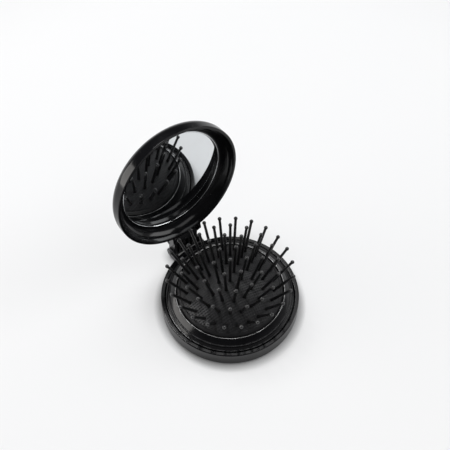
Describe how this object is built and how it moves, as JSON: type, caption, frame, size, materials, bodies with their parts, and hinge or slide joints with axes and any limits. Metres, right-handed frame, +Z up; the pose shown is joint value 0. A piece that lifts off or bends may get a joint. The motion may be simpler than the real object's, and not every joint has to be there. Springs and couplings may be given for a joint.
{
  "type": "folding hairbrush with mirror",
  "caption": "Round folding compact: pop-up ball-tipped hairbrush in the base, round mirror in the hinged lid, push button in the base's underside.",
  "frame": {"origin": "centre of the base's resting face, on the axis of the round base", "axes": "+Z up out of the table through the brush, +Y from the base's centre towards the hinge, +X to the right seen from the front"},
  "size_m": [0.066, 0.0856, 0.0856],
  "materials": {
    "case_plastic": "polished black moulded plastic",
    "cushion_rubber": "satin black rubber with a fine moulded grid",
    "inner_plastic": "as-moulded black plastic",
    "pin_nylon": "black nylon with rounded tips",
    "hinge_steel": "plain drawn steel",
    "mirror_glass": "polished, silvered behind",
    "inner_foam": "plain adhesive foam"
  },
  "bodies": {
    "base": {"base_shell": "case_plastic", "base_bezel": "case_plastic", "cushion": "cushion_rubber", "clamp_ring": "inner_plastic", "pin_centre": "pin_nylon", "pins_ring_1": "pin_nylon", "pins_ring_2": "pin_nylon", "pins_ring_3": "pin_nylon", "pins_ring_4": "pin_nylon", "lower_hinge_pin": "hinge_steel"},
    "button": {"push_button": "case_plastic", "spreader_disc": "inner_plastic"},
    "link": {"hinge_link": "case_plastic"},
    "lid": {"lid_shell": "case_plastic", "mirror_bezel": "case_plastic", "mirror": "mirror_glass", "mirror_pad": "inner_foam", "upper_hinge_pin": "hinge_steel"}
  },
  "joints": [
    {"name": "link_hinge", "type": "hinge", "parent": "base", "child": "link", "pos_m": [0, 0.0385, 0.004], "axis": [-1, 0, 0], "range_deg": [0, 80.8]},
    {"name": "lid_hinge", "type": "hinge", "parent": "link", "child": "lid", "pos_m": [0, 0.0385, 0.0143], "axis": [-1, 0, 0], "range_deg": [-99.2, 0]},
    {"name": "brush_pop", "type": "slide", "parent": "base", "child": "button", "axis": [0, 0, 1], "range_m": [-0.0095, 0], "deforming": ["cushion", "pin_centre", "pins_ring_1", "pins_ring_2", "pins_ring_3", "pins_ring_4"]}
  ],
  "couplings": [
    {"joint": "brush_pop", "follows": "lid_hinge", "m_per_rad": 0.00548}
  ]
}
